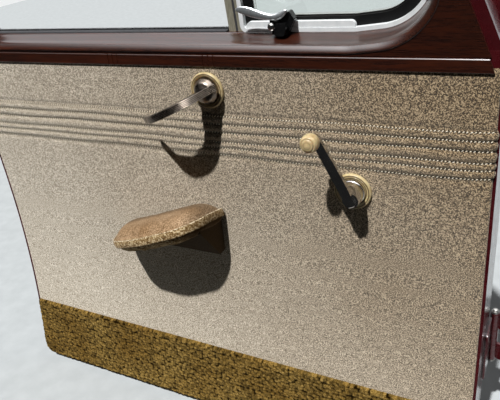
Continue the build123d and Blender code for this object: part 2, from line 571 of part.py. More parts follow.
for name, part in {
    "outer_skin": outer_skin(),
    "inner_shell": inner_shell(),
    "window_frame": window_frame(),
    "belt_moulding": belt_moulding(),
    "weatherstrip": weatherstrip(),
    "trim_panel": trim_panel(),
    "pleat_band": pleat_band(),
    "carpet_strip": carpet_strip(),
    "belt_strip": belt_strip(),
    "garnish_moulding": garnish_moulding(),
    "belt_felt": belt_felt(),
    "belt_wiper": belt_wiper(),
    "glass_run": glass_run(),
    "main_glass": main_glass(),
    "division_bar": division_bar(),
    "division_felt": division_felt(),
    "vent_flange": vent_flange(),
    "vent_ledge": vent_ledge(),
    "vent_rubber": vent_rubber(),
    "vent_sash": vent_sash(),
    "vent_glass": vent_glass(),
    "vent_latch_bracket": vent_latch_bracket(),
    "vent_latch_lever": vent_latch_lever(),
    "vent_latch_stud": vent_latch_stud(),
    "release_escutcheon": rose(*HANDLE),
    "release_ferrule": ferrule(*HANDLE),
    "release_lever": release_lever(),
    "crank_escutcheon": rose(*CRANK),
    "crank_arm": crank_arm(),
    "crank_knob": crank_knob(),
    "armrest_pad": armrest_pad(),
    "armrest_base": armrest_base(),
    "hinge_door_leaf_upper": door_leaf(HINGE_Z[0]),
    "hinge_door_leaf_lower": door_leaf(HINGE_Z[1]),
    "hinge_screws": hinge_screws(),
    "hinge_pillar_leaf_upper": pillar_leaf(HINGE_Z[0]),
    "hinge_pillar_leaf_lower": pillar_leaf(HINGE_Z[1]),
    "hinge_pins": hinge_pins(),
    "lock_plate": lock_plate(),
    "lock_bolt": lock_bolt(),
    "dovetail": dovetail(),
    "bumpers": bumpers(),
    "outer_handle": outer_handle(),
    "outer_handle_rose": outer_handle_rose(),
    "lock_cylinder": lock_cylinder(),
}.items():
    keep(name, part)
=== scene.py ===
# Left front door of a two-door sedan, put together from the bare shell to the handles.
import bpy
import bmesh
import numpy as np
from mathutils import Matrix, Vector


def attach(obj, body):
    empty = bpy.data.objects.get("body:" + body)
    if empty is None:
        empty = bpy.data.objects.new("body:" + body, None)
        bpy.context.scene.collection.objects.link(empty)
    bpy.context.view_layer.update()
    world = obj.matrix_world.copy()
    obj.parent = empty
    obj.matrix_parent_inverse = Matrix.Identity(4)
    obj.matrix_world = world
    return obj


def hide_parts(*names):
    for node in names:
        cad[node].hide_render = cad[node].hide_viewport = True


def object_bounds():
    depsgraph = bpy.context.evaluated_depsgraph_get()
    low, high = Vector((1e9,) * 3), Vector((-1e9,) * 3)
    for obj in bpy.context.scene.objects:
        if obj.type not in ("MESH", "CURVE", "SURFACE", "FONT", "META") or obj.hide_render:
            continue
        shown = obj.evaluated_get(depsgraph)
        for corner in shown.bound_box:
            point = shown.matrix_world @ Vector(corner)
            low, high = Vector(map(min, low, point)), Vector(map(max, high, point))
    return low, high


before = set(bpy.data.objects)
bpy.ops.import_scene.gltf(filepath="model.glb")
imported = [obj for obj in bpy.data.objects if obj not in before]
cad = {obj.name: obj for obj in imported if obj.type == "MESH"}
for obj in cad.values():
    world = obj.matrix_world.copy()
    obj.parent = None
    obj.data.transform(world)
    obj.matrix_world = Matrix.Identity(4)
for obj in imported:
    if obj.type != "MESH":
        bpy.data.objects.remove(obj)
cad_box = [[float(n) for n in corner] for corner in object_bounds()]

# -------------------- shell, skin and window frame
# The door itself: an inner panel pressed from 2 mm steel, a 1.5 mm outer skin folded over it, and
# the window frame on top, welded together and sprayed inside and out with one dark red enamel.


def linear(colour):
    """'#rrggbb' as linear red, green, blue and alpha: each sRGB channel divided by 12.92 where it
    is very dark, and otherwise raised to the power 2.4."""
    c = np.array([int(colour[i:i + 2], 16) for i in (1, 3, 5)]) / 255
    return (*np.where(c <= 0.04045, c / 12.92, ((c + 0.055) / 1.055) ** 2.4).tolist(), 1.0)


def add(tree, kind, values=None, stops=(), **settings):
    """Adds a node, or takes the one given. Each value goes to the input of that name: a number, a
    '#rrggbb' colour, or another node, or (node, output name), to link. stops are a ramp's colours."""
    made = tree.nodes.new("ShaderNode" + kind) if isinstance(kind, str) else kind
    for name, value in settings.items():
        setattr(made, name, value)
    for i, (place, colour) in enumerate(stops):
        stop = made.color_ramp.elements[i] if i < 2 else made.color_ramp.elements.new(place)
        stop.position, stop.color = place, linear(colour)
    for name, value in (values or {}).items():
        if isinstance(value, bpy.types.Node):
            value = (value, 0)
        if isinstance(value, tuple) and isinstance(value[0], bpy.types.Node):
            tree.links.new(value[0].outputs[value[1]], made.inputs[name])
        else:
            made.inputs[name].default_value = linear(value) if isinstance(value, str) else value
    return made


def finish(name):
    """A new material: the material, its tree, its shader, and the object's coordinates in metres."""
    made = bpy.data.materials.new(name)
    made.use_nodes = True
    tree = made.node_tree
    return made, tree, tree.nodes["Principled BSDF"], (add(tree, "TexCoord"), "Object")


def dress(material, *nodes):
    """Gives the CAD nodes this material."""
    for name in nodes:
        cad[name].material_slots[0].material = material


# Sprayed enamel: glossy, a little uneven, with orange peel about 2 mm across under a clear gloss.
enamel, tree, shader, at = finish("sprayed enamel, dark red")
shade = add(tree, "TexNoise", {"Vector": at, "Scale": 14, "Detail": 3})
peel = add(tree, "TexNoise", {"Vector": at, "Scale": 480, "Detail": 1})
dust = add(tree, "TexNoise", {"Vector": at, "Scale": 60, "Detail": 6, "Roughness": 0.7})
add(tree, shader, {
    "Base Color": add(tree, "ValToRGB", {"Fac": shade}, stops=[(0.3, "#35090d"), (0.7, "#4a1014")]),
    "Roughness": add(tree, "MapRange", {
        "Value": dust, "From Min": 0.35, "From Max": 0.75, "To Min": 0.2, "To Max": 0.42}),
    "Coat Weight": 0.5, "Coat Roughness": 0.06,
    "Normal": add(tree, "Bump", {"Height": peel, "Strength": 0.05, "Distance": 0.0004})})
dress(enamel, "inner_shell", "outer_skin", "window_frame")

# -------------------- rubber seals and buffers
# Extruded sponge-rubber bead behind the skin's lip, the wiper outside the glass, the vent's seal
# and the moulded buffers on the lock face: black rubber with almost no shine.
rubber, tree, shader, at = finish("moulded rubber, aged black")
bloom = add(tree, "TexNoise", {"Vector": at, "Scale": 90, "Detail": 5, "Roughness": 0.65})
grain = add(tree, "TexNoise", {"Vector": at, "Scale": 1400, "Detail": 2})
add(tree, shader, {
    "Base Color": add(tree, "ValToRGB", {"Fac": bloom}, stops=[(0.35, "#060606"), (0.75, "#101010")]),
    "Roughness": 0.6, "Specular IOR Level": 0.2,
    "Normal": add(tree, "Bump", {"Height": grain, "Strength": 0.25, "Distance": 0.0003})})
dress(rubber, "weatherstrip", "belt_wiper", "vent_rubber", "bumpers")

# -------------------- main window glass
# Laminated plate 4 mm thick, rolled down so that only its ground top edge stands above the sill.
glass, tree, shader, at = finish("plate glass, faint green")
haze = add(tree, "TexNoise", {"Vector": at, "Scale": 8, "Detail": 3})
add(tree, shader, {
    "Base Color": add(tree, "ValToRGB", {"Fac": haze}, stops=[(0.3, "#edf5f0"), (0.7, "#f4f9f6")]),
    "Roughness": 0.02, "IOR": 1.52, "Transmission Weight": 1.0})
dress(glass, "main_glass", "vent_glass")

# -------------------- felt in the glass slot
# Short black felt on the sill, in the glass run and between the division bar's two strips.
felt, tree, shader, at = finish("wool felt, black")
fluff = add(tree, "TexNoise", {"Vector": at, "Scale": 1100, "Detail": 3})
add(tree, shader, {
    "Base Color": add(tree, "ValToRGB", {"Fac": fluff}, stops=[(0.3, "#0e0f12"), (0.75, "#23252b")]),
    "Roughness": 0.95, "Sheen Weight": 0.3, "Sheen Roughness": 0.5,
    "Normal": add(tree, "Bump", {"Height": fluff, "Strength": 0.6, "Distance": 0.0006})})
dress(felt, "belt_felt", "glass_run", "division_felt")

# -------------------- bright metal
# Vent sash, latch stud, belt moulding, crank and outside handle: brass or zinc castings and
# rolled strip, polished and chromium plated; fine smears and a few pin pits from age.
chrome, tree, shader, at = finish("polished chromium plate")
smear = add(tree, "TexNoise", {"Vector": at, "Scale": 70, "Detail": 6, "Roughness": 0.7})
pits = add(tree, "TexVoronoi", {"Vector": at, "Scale": 420})
pit = add(tree, "MapRange", {"Value": pits, "From Min": 0.06, "From Max": 0.14})
add(tree, shader, {
    "Base Color": add(tree, "ValToRGB", {"Fac": smear}, stops=[(0.25, "#b9b4ae"), (0.7, "#d6d4d1")]),
    "Metallic": 1.0,
    "Roughness": add(tree, "MapRange", {
        "Value": smear, "From Min": 0.3, "From Max": 0.8, "To Min": 0.1, "To Max": 0.24}),
    "Normal": add(tree, "Bump", {"Height": pit, "Strength": 0.2, "Distance": 0.0002})})
dress(chrome, "belt_moulding", "vent_sash", "vent_latch_stud",
      "crank_arm", "outer_handle", "outer_handle_rose", "lock_cylinder")

# The release handle's dome and hook have dulled: the same plate, softer. Between the hook's
# ribs and on its flat sides, which the attribute marks, it is painted dark brown as painted shade.
dulled, tree, shader, at = finish("dulled chromium plate")
film = add(tree, "TexNoise", {"Vector": at, "Scale": 110, "Detail": 4})
# This attribute is painted shade between the hook's ribs and on its flat cheeks.
groove = add(tree, "Attribute", attribute_name="groove")
plate = add(tree, "ValToRGB", {"Fac": film}, stops=[(0.3, "#6f6459"), (0.7, "#9a8f84")])
add(tree, shader, {
    "Base Color": add(tree, "MixRGB", {"Fac": (groove, "Fac"), "Color1": plate, "Color2": "#120a05"}),
    "Metallic": 1.0,
    "Roughness": add(tree, "MapRange", {
        "Value": film, "From Min": 0.3, "From Max": 0.7, "To Min": 0.24, "To Max": 0.34})})
dress(dulled, "release_ferrule")

# The division bar's two strips: drawn nickel, with a fine satin grain along them.
strip_metal, tree, shader, at = finish("satin nickel strip")
drawn_out = add(tree, "Mapping", {"Vector": at, "Scale": (900, 900, 30)})
film = add(tree, "TexNoise", {"Vector": drawn_out, "Scale": 1.0, "Detail": 3})
add(tree, shader, {
    "Base Color": add(tree, "ValToRGB", {"Fac": film}, stops=[(0.3, "#8f8a78"), (0.7, "#b4b09c")]),
    "Metallic": 0.4, "Roughness": 0.4,
    "Normal": add(tree, "Bump", {"Height": film, "Strength": 0.1, "Distance": 0.0002})})
dress(strip_metal, "division_bar")

# -------------------- vent flange, ledge and bracket
# The vent's flange and raised sill plate are steel, sprayed a pale satin grey; the latch keeper is
# black stove enamel.
grey, tree, shader, at = finish("satin grey enamel on steel")
shade = add(tree, "TexNoise", {"Vector": at, "Scale": 120, "Detail": 4})
add(tree, shader, {
    "Base Color": add(tree, "ValToRGB", {"Fac": shade}, stops=[(0.3, "#dde1e2"), (0.7, "#eceeee")]),
    "Roughness": 0.3,
    "Normal": add(tree, "Bump", {"Height": shade, "Strength": 0.1, "Distance": 0.0003})})
dress(grey, "vent_flange", "vent_ledge")

black, tree, shader, at = finish("black stove enamel")
shade = add(tree, "TexNoise", {"Vector": at, "Scale": 260, "Detail": 3})
add(tree, shader, {
    "Base Color": add(tree, "ValToRGB", {"Fac": shade}, stops=[(0.3, "#0b0b0c"), (0.7, "#191919")]),
    "Roughness": 0.18,
    "Normal": add(tree, "Bump", {"Height": shade, "Strength": 0.08, "Distance": 0.0003})})
dress(black, "vent_latch_bracket")

# -------------------- cloth-covered trim board
# A fibre board 4 mm thick with wool broadcloth drawn over it and rolled round its edges; it dips
# under the pleated band. The cloth turns toward the cabin below the fold.
TRIM_LONG, TRIM_LOW, FOLD, FOLD_RADIUS = 880, -652, -250, 1954  # mm
EDGE_ROLL, EDGE_BACK = 2.4, 4.2  # mm: how the cloth turns round the board's edge, and how far back
ORIGIN = np.array([46.5854, 95.1299, -70.0])  # the row's origin in the door's own drawing, mm
BAND_TOP, BAND_FOOT = -84, -154  # heights between which the pleated band lies, mm


def placed(points):
    """Points of the door's drawing, in mm with x=0 at the trim's front edge, y=0 on the cloth and
    z=0 at the belt, moved to the row's origin and turned to metres."""
    return (np.asarray(points, float) - ORIGIN) / 1000


def put(name, data):
    """A new object of this data, in the scene."""
    made = bpy.data.objects.new(name, data)
    bpy.context.scene.collection.objects.link(made)
    return made


def mesh_piece(name, points, faces, material):
    """An object of its own from points in metres and a list of faces, riding on the door."""
    mesh = bpy.data.meshes.new(name)
    mesh.from_pydata(np.asarray(points).reshape(-1, 3).tolist(), [], [list(map(int, f)) for f in faces])
    mesh.materials.append(material)
    mesh.shade_smooth()
    made = put(name, mesh)
    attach(made, "door")
    return made


def quads(rows, columns, round_rows=False, round_columns=False):
    """Faces of a grid of points counted row by row; a round direction joins its end to its start."""
    down, across = rows - (not round_rows), columns - (not round_columns)
    i, j = np.meshgrid(np.arange(down), np.arange(across), indexing="ij")
    below, right = (i + 1) % rows, (j + 1) % columns
    corners = [i * columns + j, i * columns + right, below * columns + right, below * columns + j]
    return np.stack(corners, -1).reshape(-1, 4)


def unit(vectors):
    """Vectors scaled to length 1."""
    return vectors / np.linalg.norm(vectors, axis=-1, keepdims=True)


def trim_depth(z):
    """y of the cloth at height z: flat above the fold, and below it an arc that leans inboard."""
    return -(FOLD_RADIUS - np.sqrt(FOLD_RADIUS ** 2 - np.minimum(z - FOLD, 0) ** 2))


def trim_ends(z, inset):
    """x of the board's rear and front edge at height z: straight, then round the two lower corners."""
    low = TRIM_LOW + inset

    def cut_back(radius):
        r = radius - inset
        t = np.clip((low + r - z) / r, 0, 1)
        return r - r * np.sqrt(1 - t * t)
    return -TRIM_LONG + inset + cut_back(30), -inset - cut_back(6)


def trim_cloth():
    """Grid over the board, its heights closer together near the lower corners, then five rings of
    points that carry its open edge round a quarter circle and back to the board's rear face."""
    across, low = 150, TRIM_LOW + EDGE_ROLL
    z = np.concatenate([
        np.linspace(-10, BAND_TOP, 14), np.linspace(BAND_TOP - 2, BAND_FOOT + 2, 5),
        np.linspace(BAND_FOOT, low + 28, 64), low + 28 * (1 - np.sin(np.linspace(0, np.pi / 2, 14)[1:]))])
    rear, front = trim_ends(z, EDGE_ROLL)
    s = np.linspace(0, 1, across)
    x = rear[:, None] + (front - rear)[:, None] * s
    zz = np.repeat(z[:, None], across, 1)
    waves = 0.16 * np.sin(x / 61 + zz / 47) * np.sin(x / 37 - zz / 83)
    y = trim_depth(zz) + waves + 1.2 * ((zz < BAND_TOP - 1) & (zz > BAND_FOOT + 1))
    down = np.arange(len(z)) * across
    edge = np.concatenate([down, down[-1] + np.arange(1, across), down[-2::-1] + across - 1])
    points = np.stack([x, y, zz], -1).reshape(-1, 3)
    line = points[edge]
    way = np.gradient(line[:, [0, 2]], axis=0)
    out = unit(np.stack([way[:, 1], 0 * way[:, 0], -way[:, 0]], -1))
    rings = [points]
    for angle in np.linspace(0, np.pi / 2, 6)[1:]:
        back = np.array([0, EDGE_ROLL * (1 - np.cos(angle)), 0])
        rings.append(line + out * EDGE_ROLL * np.sin(angle) + back)
    rings.append(rings[-1] + np.array([0, EDGE_BACK - EDGE_ROLL, 0]))
    count, faces = len(edge), [quads(len(z), across)]
    start, before = len(points), edge
    for _ in rings[1:]:
        now = start + np.arange(count)
        faces.append(np.stack([before[:-1], before[1:], now[1:], now[:-1]], -1))
        start, before = start + count, now
    return np.concatenate(rings), np.concatenate(faces)[:, ::-1]


# Wool broadcloth with a short nap: taupe flecked light and dark, a pale bloom where it is seen
# aslant. The fleck is about 1 mm, drawn coarser than the real fibre so that it shows. Toward the
# door's rear and low down it is painted paler: partly fading, partly painted sheen of the cloth
# seen aslant there. In each seam painted shade turns it nearly black.
broadcloth, tree, shader, at = finish("wool broadcloth, taupe")
patch = add(tree, "TexNoise", {"Vector": at, "Scale": 7, "Detail": 3})
fleck = add(tree, "TexNoise", {"Vector": at, "Scale": 690, "Detail": 2, "Roughness": 0.6})
nap = add(tree, "TexNoise", {"Vector": at, "Scale": 1500, "Detail": 2})
tint = add(tree, "ValToRGB", {"Fac": fleck}, stops=[(0.39, "#1f1408"), (0.5, "#624b2e"), (0.61, "#b79e78")])
pale = add(tree, "ValToRGB", {"Fac": fleck}, stops=[(0.38, "#766a58"), (0.5, "#b1a591"), (0.62, "#e8dfd0")])
# Painted paler toward the rear and low down: partly fading, partly painted sheen of cloth seen aslant.
spread = add(tree, "SeparateXYZ", {"Vector": at})
rearward = add(tree, "MapRange", {"Value": (spread, "X"), "From Max": -0.95, "To Max": 0.9})
downward = add(tree, "MapRange", {"Value": (spread, "Z"), "From Max": -0.5, "To Max": 0.35})
uneven = add(tree, "MapRange", {"Value": patch, "To Min": -0.15, "To Max": 0.15})
bleach_and_sheen = add(tree, "Math", {0: rearward, 1: downward}, operation="ADD")
bleach_and_sheen = add(tree, "Math", {0: bleach_and_sheen, 1: uneven}, operation="ADD", use_clamp=True)
# This attribute is painted shade: it turns the cloth nearly black down in each seam.
crease_shade = add(tree, "Attribute", attribute_name="crease_shade")
colour = add(tree, "MixRGB", {"Fac": bleach_and_sheen, "Color1": tint, "Color2": pale})
dark = add(tree, "MixRGB", {"Fac": (crease_shade, "Fac"), "Color1": colour, "Color2": "#120c07"})
fuzz = add(tree, "MixRGB", {"Fac": 0.5, "Color1": (fleck, 0), "Color2": (nap, 0)})
add(tree, shader, {
    "Base Color": dark, "Roughness": 0.95, "Specular IOR Level": 0.0,
    "Sheen Weight": 0.45, "Sheen Roughness": 0.6, "Sheen Tint": "#e9e4da",
    "Normal": add(tree, "Bump", {"Height": fuzz, "Strength": 0.6, "Distance": 0.001})})
points, faces = trim_cloth()
cover = mesh_piece("trim_cloth", placed(points), faces, broadcloth)
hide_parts("trim_panel")

# -------------------- pleated band
# Five rolls sewn into the cloth between six seams, the full length of the door. Each seam pulls
# the cloth down in little puckers, one to a stitch, and bends up at the door's front edge.
SEAMS = np.array([-88, -100, -113, -128, -138, -150.0])  # their heights, mm
STITCH, FIRST = 4.7, 4  # mm between stitches, and from the front edge to the first
ROLL = 2.7  # mm that a roll stands over the board
DEPTH = np.array([0.4, 0.7, 1.0, 0.7, 0.6, 1.0])  # how deep each seam is drawn in
SHOWN = np.array([1.0, 0.8, 0.45, 1.0, 0.8, 0.5])  # how far each seam's thread stands out of it


def seam_wave(x, z):
    """How far the seams wander from straight: a slow wave, and a bend up at the front edge."""
    slow = 0.8 * np.sin(x / 83 + z / 30) + 0.5 * np.sin(x / 31 - z / 11)
    return slow + 3.0 * np.exp(np.minimum(x, 0) / 14)


def roll_height(x, z):
    """Height of the rolls over the board: between two seams a round-shouldered hump, lower near a
    shallow seam, less the puckers that fade away from each stitch."""
    band = np.clip(np.searchsorted(-SEAMS, -z) - 1, 0, 4)
    upper, lower = SEAMS[band], SEAMS[band + 1]
    t = np.clip((upper - z) / (upper - lower), 0, 1)
    hump = np.sin(np.pi * t) ** 0.75
    floor = 1 - (DEPTH[band] * (1 - t) + DEPTH[band + 1] * t)
    inside = (z < SEAMS[0]) & (z > SEAMS[-1])
    height = np.where(inside, ROLL * (floor * 0.5 + (1 - floor * 0.5) * hump), 0.05)
    for seam in SEAMS:
        away = np.exp(-np.abs(z - seam) / 2.0)
        height = height + 0.45 * away * np.cos(2 * np.pi * (x + FIRST + 0.7 * (z - seam)) / STITCH)
    return height


def pleats():
    """Grid of heights: x along the door, z down the band; at both ends the rows go round the
    board's edge on a quarter circle, the rolls standing out from it. The last result is painted
    shade for the cloth's colour: a bell across each seam that beats once to a stitch."""
    flat = np.linspace(-TRIM_LONG + EDGE_ROLL, -EDGE_ROLL, 940)
    angle = np.linspace(np.pi / 2, 0, 6)[:-1]
    turn = np.concatenate([-angle, np.zeros(len(flat)), angle[::-1]])
    bend = EDGE_ROLL * np.sin(angle)
    x = np.concatenate([flat[0] - bend, flat, flat[-1] + bend[::-1]])
    ease = (0.5 + 0.5 * np.cos(np.linspace(0, np.pi, 17)))[1:]
    rolls = [b + (a - b) * ease for a, b in zip(SEAMS, SEAMS[1:])]
    z = np.concatenate([np.linspace(BAND_TOP, SEAMS[0] + 1, 4), *rolls, np.linspace(SEAMS[-1] - 1, BAND_FOOT, 4)])
    xx, zz = np.meshgrid(x, z)
    tt = np.repeat(turn[None], len(z), 0)
    height = roll_height(xx, zz)
    base = EDGE_ROLL * (1 - np.cos(tt))
    fade = np.clip(np.minimum(BAND_TOP - zz, zz - BAND_FOOT) / 3, 0, 1)
    points = np.stack([xx + np.sin(tt) * height, base - np.cos(tt) * height, zz + seam_wave(xx, zz) * fade], -1)
    seam_shade = np.zeros_like(xx)
    for seam, depth in zip(SEAMS, DEPTH):
        beat = np.cos(2 * np.pi * (xx + FIRST + 0.8 * (zz - seam)) / STITCH)
        seam_shade += np.exp(-((zz - seam) / 1.2) ** 2) * (0.6 * depth + 0.25 - 0.95 * beat)
    return points, quads(len(z), len(x)), np.clip(seam_shade, 0, 1)


def paint(piece, name, values):
    """Gives each point of the piece a number, for its material to read as an attribute."""
    layer = piece.data.attributes.new(name, "FLOAT", "POINT")
    layer.data.foreach_set("value", values.astype(np.float32).ravel())


# The last result is painted shade in the seams, handed to the cloth's colour as an attribute.
points, faces, seam_shade = pleats()
band = mesh_piece("pleated_cloth", placed(points), faces, broadcloth)
paint(band, "crease_shade", seam_shade)
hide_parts("pleat_band")

# -------------------- stitches
# Lock stitches of waxed linen thread, each about 3 mm long and lying aslant in its seam.
BEAD, BEAD_TILT = np.array([1.7, 0.65, 0.65]), 42  # mm half sizes, and degrees off the seam
thread, tree, shader, at = finish("waxed linen thread, cream")
ply = add(tree, "TexNoise", {"Vector": at, "Scale": 900, "Detail": 2})
add(tree, shader, {
    "Base Color": add(tree, "ValToRGB", {"Fac": ply}, stops=[(0.3, "#e2d2b0"), (0.7, "#fff9ea")]),
    "Roughness": 0.7,
    "Normal": add(tree, "Bump", {"Height": ply, "Strength": 0.3, "Distance": 0.0002})})


def bead(sides, rings):
    """A grain of unit half-length along x: circles whose radius falls to nothing at both ends."""
    a = np.linspace(-np.pi / 2, np.pi / 2, rings)[:, None]
    b = np.linspace(0, 2 * np.pi, sides, endpoint=False)[None]
    grain = np.stack([np.sin(a) + 0 * b, np.cos(a) * np.cos(b), np.cos(a) * np.sin(b)], -1)
    return grain.reshape(-1, 3), quads(rings, sides, round_columns=True)


def stitches():
    """One bead to a stitch, stretched and turned aslant, at equal steps along each seam, its
    height following the cloth there."""
    shape, faces = bead(6, 5)
    x = np.arange(-FIRST, FIRST - TRIM_LONG, -STITCH)
    seam, depth, shown = (np.repeat(each, len(x)) for each in (SEAMS, DEPTH, SHOWN))
    rng = np.random.default_rng(7)
    x = np.tile(x, len(SEAMS)) + rng.uniform(-0.25, 0.25, seam.size)
    tilt = (np.radians(BEAD_TILT) + rng.uniform(-0.2, 0.2, seam.size))[:, None]
    a, b, c = (shape * BEAD).T[:, None]
    cos, sin = np.cos(tilt), np.sin(tilt)
    turned = np.stack([a * cos - c * sin, b + 0 * tilt, a * sin + c * cos], -1)
    height = ROLL * 0.5 * (1 - depth) + 0.4 + 0.8 * shown
    centre = np.stack([x, -height, seam + seam_wave(x, seam)], -1)
    all_faces = (faces[None] + (np.arange(len(x)) * len(shape))[:, None, None]).reshape(-1, 4)
    return (turned + centre[:, None]).reshape(-1, 3), all_faces


points, faces = stitches()
sewing = mesh_piece("pleat_stitches", placed(points), faces, thread)

# -------------------- carpet strip
# Woven loop carpet tacked over the lowest part of the trim, where shoes scuff it.
CARPET_TOP, CARPET_FOOT = -526, TRIM_LOW + 2.5  # mm
PILE, LOOP = 8, 5.6  # mm: how thick it is, and between two loops


def carpet():
    """Grid over the strip, 1.45 mm apart. Each point's height is a dome over the nearest of the
    loops, which stand on a jittered grid and differ in height; the rim falls to the board. The last
    result is painted shade: full down between the loops, less on the tops of taller loops."""
    x = np.linspace(-TRIM_LONG + 0.5, -0.5, int(TRIM_LONG / 1.45))
    z = np.linspace(CARPET_TOP, CARPET_FOOT, 92)
    s, zz = np.meshgrid((x - x[0]) / (x[-1] - x[0]), z)
    rear, front = trim_ends(zz, 0.6)
    xx = rear + (front - rear) * s
    rng = np.random.default_rng(3)
    cells = (int(130 / LOOP) + 4, int(TRIM_LONG / LOOP) + 4)
    jitter, lift = rng.uniform(-0.33, 0.33, (*cells, 2)), rng.uniform(0.55, 1.0, cells)
    u, v = (xx + TRIM_LONG) / LOOP + 1, (zz - TRIM_LOW) / LOOP + 1
    best, tall = np.full(xx.shape, 9.0), np.zeros(xx.shape)
    for di in (-1, 0, 1):
        for dj in (-1, 0, 1):
            i, j = np.floor(v).astype(int) + di, np.floor(u).astype(int) + dj
            i, j = np.clip(i, 0, cells[0] - 1), np.clip(j, 0, cells[1] - 1)
            far = np.hypot(u - (j + 0.5 + jitter[i, j, 0]), 1.15 * (v - (i + 0.5 + jitter[i, j, 1])))
            nearer = far < best
            best, tall = np.where(nearer, far, best), np.where(nearer, lift[i, j], tall)
    dome = np.sqrt(np.clip(1 - (best / 0.78) ** 2, 0, 1))
    rim = np.clip(np.minimum.reduce([CARPET_TOP - zz, zz - CARPET_FOOT, xx - rear, front - xx]) / 4, 0, 1)
    rim = np.sqrt(1 - (1 - rim) ** 2)
    height = rim * (PILE - 3.4 + 3.2 * dome * tall) + 0.1
    points = np.stack([xx, trim_depth(zz) - height, zz], -1)
    return points, quads(*xx.shape), np.clip(1 - dome * tall, 0, 1)


# Wool loop pile, olive brown, with painted shade: nearly black down between the loops, lighter on taller loops'
# tops.
pile, tree, shader, at = finish("wool loop pile, olive brown")
hollow_shade = add(tree, "Attribute", attribute_name="hollow_shade")
yarn = add(tree, "TexNoise", {"Vector": at, "Scale": 700, "Detail": 3, "Roughness": 0.7})
scuff = add(tree, "TexNoise", {"Vector": at, "Scale": 12, "Detail": 4})
top = add(tree, "ValToRGB", {"Fac": yarn}, stops=[(0.35, "#4a3714"), (0.5, "#7f652f"), (0.66, "#bda064")])
scuffs = add(tree, "ValToRGB", {"Fac": scuff}, stops=[(0.3, "#d6ccba"), (0.7, "#ffffff")])
worn = add(tree, "MixRGB", {"Fac": 1.0, "Color1": top, "Color2": scuffs}, blend_type="MULTIPLY")
# Painted shade between the loops darkens the pile toward near-black.
deep = add(tree, "MapRange", {"Value": (hollow_shade, "Fac"), "From Min": 0.15, "From Max": 0.7})
add(tree, shader, {
    "Base Color": add(tree, "MixRGB", {"Fac": deep, "Color1": worn, "Color2": "#140c02"}),
    "Roughness": 0.95, "Specular IOR Level": 0.0,
    "Sheen Weight": 0.1, "Sheen Roughness": 0.5, "Sheen Tint": "#e0c890",
    "Normal": add(tree, "Bump", {"Height": yarn, "Strength": 0.7, "Distance": 0.0012})})
points, faces, hollow_shades = carpet()
mat = mesh_piece("carpet_pile", placed(points), faces, pile)
paint(mat, "hollow_shade", hollow_shades)
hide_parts("carpet_strip")

# -------------------- wood-grained garnish and belt strip
# Pressed steel mouldings round the window and along the belt, grained to look like mahogany and
# varnished: long red-brown streaks along x under a deep gloss.
grained, tree, shader, at = finish("wood-grained enamel, mahogany")
stretch = add(tree, "Mapping", {"Vector": at, "Scale": (9, 150, 150)})
streak = add(tree, "TexNoise", {"Vector": stretch, "Scale": 1.0, "Detail": 5, "Roughness": 0.6, "Distortion": 0.6})
fine = add(tree, "Mapping", {"Vector": at, "Scale": (60, 1500, 1500)})
pore = add(tree, "TexNoise", {"Vector": fine, "Scale": 1.0, "Detail": 2})
wood = add(tree, "ValToRGB", {"Fac": streak}, stops=[(0.25, "#160400"), (0.5, "#280b02"), (0.78, "#451905")])
pores = add(tree, "ValToRGB", {"Fac": pore}, stops=[(0.4, "#100301"), (0.6, "#421c09")])
add(tree, shader, {
    "Base Color": add(tree, "MixRGB", {"Fac": 0.35, "Color1": wood, "Color2": pores}),
    "Roughness": 0.4, "IOR": 1.5, "Specular IOR Level": 0.2,
    "Coat Weight": 1.0, "Coat Roughness": 0.26, "Coat IOR": 1.7,
    "Normal": add(tree, "Bump", {"Height": streak, "Strength": 0.012, "Distance": 0.0003})})
dress(grained, "garnish_moulding", "belt_strip")

# The moulding's rolled edge round the opening, drawn as one smooth sheet over the pressed form.
SILL, LEAN, LEAN_Y = 21.5, 5, 34  # mm, degrees that the frame leans out, and where it pivots
WINDOW = [  # the opening's corners: x, height, radius
    (-177, SILL, 60), (-107, 29, 75), (-78, 77.5, 44), (-196.9, 364.5, 30), (-858, 364.5, 75), (-858, SILL, 28)]
ROLL_EDGE = [  # the rolled edge's section: out from the opening, depth
    (-1.3, 35.4), (0, 33.4), (1.3, 27), (3.0, 20), (4.2, 14.5), (4.6, 10.6), (4.9, 7.6), (5.6, 5.0), (6.8, 3.0),
    (8.6, 1.2), (10.4, -0.3), (12.2, -1.5), (13.5, -2.1), (14.3, -1.9), (14.7, -1.2)]


